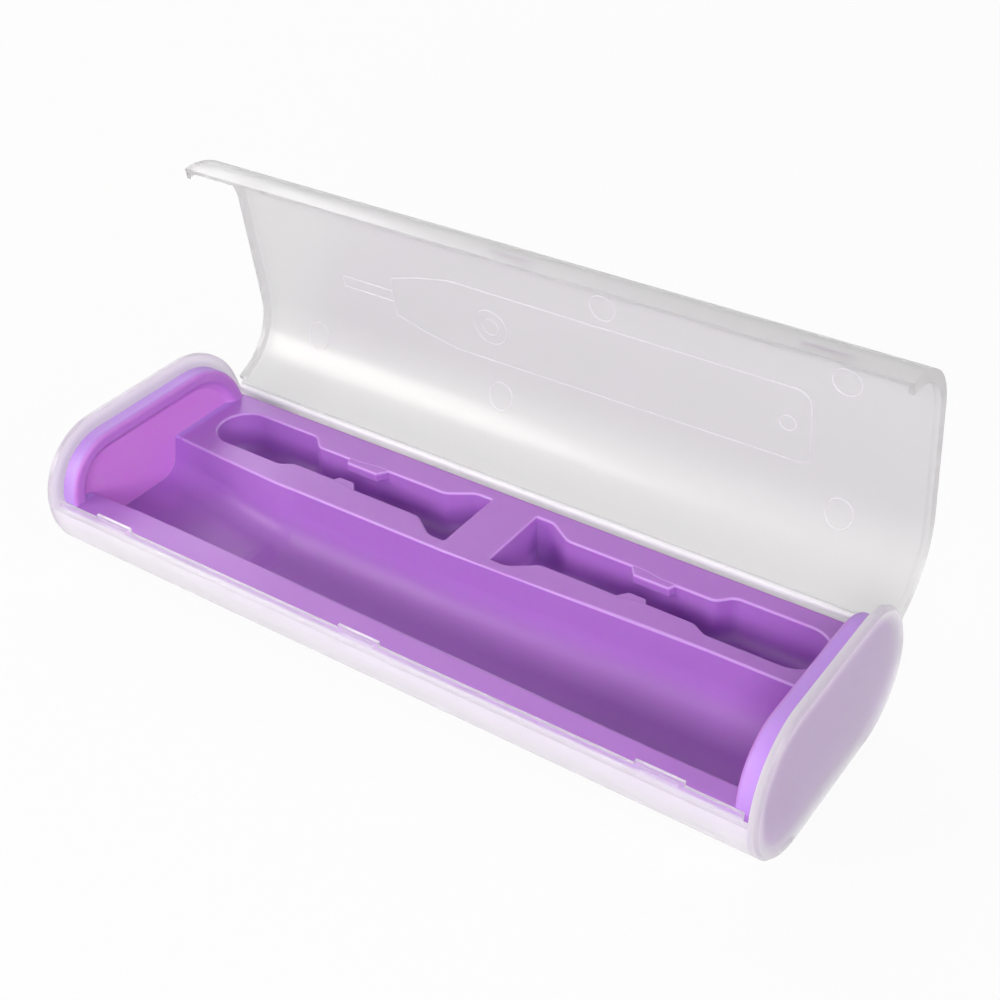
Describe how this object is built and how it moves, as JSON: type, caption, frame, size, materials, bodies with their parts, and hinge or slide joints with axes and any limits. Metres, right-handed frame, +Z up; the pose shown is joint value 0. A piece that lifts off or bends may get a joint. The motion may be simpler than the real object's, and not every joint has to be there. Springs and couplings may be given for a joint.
{
  "type": "toothbrush travel case",
  "caption": "Long rounded travel case for an electric toothbrush: frosted clear shell with a living-hinge lid, snap rim, and a coloured tray with a handle trough and brush-head wells.",
  "frame": {"origin": "centre of the flat underside on which the case rests", "axes": "+X along the case, towards the handle's end of the long trough; +Y from the front rim towards the hinge; +Z up"},
  "size_m": [0.23, 0.0975, 0.1011],
  "materials": {
    "clear_shell": "frosted translucent polypropylene, faint orange-peel gloss",
    "tray_plastic": "satin opaque purple"
  },
  "bodies": {
    "base": {"base_shell": "clear_shell", "inner_tray": "tray_plastic"},
    "lid": {"lid_shell": "clear_shell", "hinge_web": "clear_shell"}
  },
  "joints": [
    {"name": "lid_hinge", "type": "hinge", "parent": "base", "child": "lid", "pos_m": [0, 0.03761, 0.0222], "axis": [-1, 0, 0], "range_deg": [-83.4, 94.6], "deforming": ["hinge_web"]}
  ]
}
